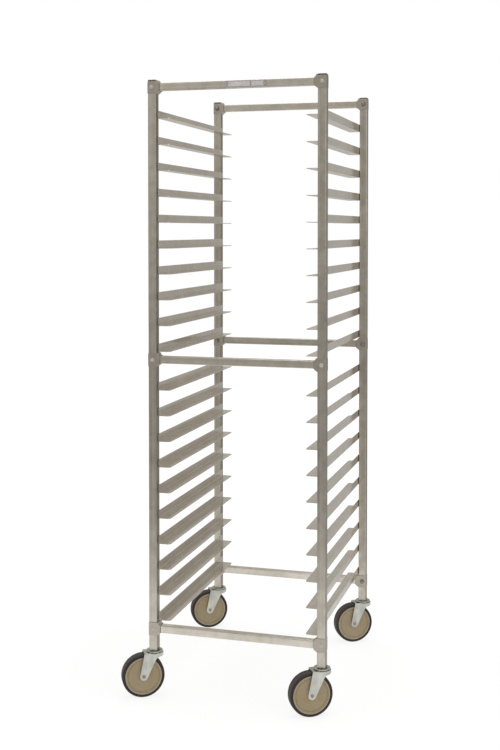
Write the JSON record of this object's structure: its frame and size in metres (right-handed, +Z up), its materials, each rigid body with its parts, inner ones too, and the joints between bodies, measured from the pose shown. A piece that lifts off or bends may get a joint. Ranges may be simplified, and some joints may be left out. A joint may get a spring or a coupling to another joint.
{
  "type": "sheet pan rack",
  "caption": "Tall open aluminium rack of square posts and cross rails, with paired angle runners that hold baking pans slid in from the end, on swivel casters.",
  "frame": {"origin": "centre of the bounding box at floor level, with all casters trailing as built", "axes": "+Z up; the rack is loaded from its front, which faces -Y; +X is to the right seen from the front"},
  "size_m": [0.633, 0.7202, 1.8237],
  "materials": {
    "post": "satin extruded square tube",
    "runner": "satin mill finish, glossier at a shallow angle",
    "rail": "satin extruded square tube with welded ends",
    "plate": "matt lacquered, blank",
    "fork": "bright zinc plate",
    "wheel": "tan moulded core with a dark rubber tyre"
  },
  "bodies": {
    "frame": {"front_left_post": "post", "front_right_post": "post", "rear_left_post": "post", "rear_right_post": "post", "runner_left_01": "runner", "runner_right_01": "runner", "runner_left_02": "runner", "runner_right_02": "runner", "runner_left_03": "runner", "runner_right_03": "runner", "runner_left_04": "runner", "runner_right_04": "runner", "runner_left_05": "runner", "runner_right_05": "runner", "runner_left_06": "runner", "runner_right_06": "runner", "runner_left_07": "runner", "runner_right_07": "runner", "runner_left_08": "runner", "runner_right_08": "runner", "runner_left_09": "runner", "runner_right_09": "runner", "runner_left_10": "runner", "runner_right_10": "runner", "runner_left_11": "runner", "runner_right_11": "runner", "runner_left_12": "runner", "runner_right_12": "runner", "runner_left_13": "runner", "runner_right_13": "runner", "runner_left_14": "runner", "runner_right_14": "runner", "runner_left_15": "runner", "runner_right_15": "runner", "runner_left_16": "runner", "runner_right_16": "runner", "runner_left_17": "runner", "runner_right_17": "runner", "runner_left_18": "runner", "runner_right_18": "runner", "runner_left_19": "runner", "runner_right_19": "runner", "runner_left_20": "runner", "runner_right_20": "runner", "front_bottom_rail": "rail", "rear_bottom_rail": "rail", "front_middle_rail": "rail", "rear_middle_rail": "rail", "front_top_rail": "rail", "rear_top_rail": "rail", "name_plate": "plate"},
    "front_left_swivel": {"front_left_fork": "fork"},
    "front_left_roller": {"front_left_wheel": "wheel"},
    "front_right_swivel": {"front_right_fork": "fork"},
    "front_right_roller": {"front_right_wheel": "wheel"},
    "rear_left_swivel": {"rear_left_fork": "fork"},
    "rear_left_roller": {"rear_left_wheel": "wheel"},
    "rear_right_swivel": {"rear_right_fork": "fork"},
    "rear_right_roller": {"rear_right_wheel": "wheel"}
  },
  "joints": [
    {"name": "front_left_swivel_turn", "type": "hinge", "parent": "frame", "child": "front_left_swivel", "pos_m": [-0.22449, -0.2983, 0.1316], "axis": [0, 0, 1], "continuous": true},
    {"name": "front_left_wheel_spin", "type": "hinge", "parent": "front_left_swivel", "child": "front_left_roller", "pos_m": [-0.2548, -0.3158, 0.0635], "axis": [0.5, -0.866, 0], "continuous": true},
    {"name": "front_right_swivel_turn", "type": "hinge", "parent": "frame", "child": "front_right_swivel", "pos_m": [0.28511, -0.2983, 0.1316], "axis": [0, 0, 1], "continuous": true},
    {"name": "front_right_wheel_spin", "type": "hinge", "parent": "front_right_swivel", "child": "front_right_roller", "pos_m": [0.2548, -0.3158, 0.0635], "axis": [0.5, -0.866, 0], "continuous": true},
    {"name": "rear_left_swivel_turn", "type": "hinge", "parent": "frame", "child": "rear_left_swivel", "pos_m": [-0.22449, 0.3333, 0.1316], "axis": [0, 0, 1], "continuous": true},
    {"name": "rear_left_wheel_spin", "type": "hinge", "parent": "rear_left_swivel", "child": "rear_left_roller", "pos_m": [-0.2548, 0.3158, 0.0635], "axis": [0.5, -0.866, 0], "continuous": true},
    {"name": "rear_right_swivel_turn", "type": "hinge", "parent": "frame", "child": "rear_right_swivel", "pos_m": [0.28511, 0.3333, 0.1316], "axis": [0, 0, 1], "continuous": true},
    {"name": "rear_right_wheel_spin", "type": "hinge", "parent": "rear_right_swivel", "child": "rear_right_roller", "pos_m": [0.2548, 0.3158, 0.0635], "axis": [0.5, -0.866, 0], "continuous": true}
  ]
}
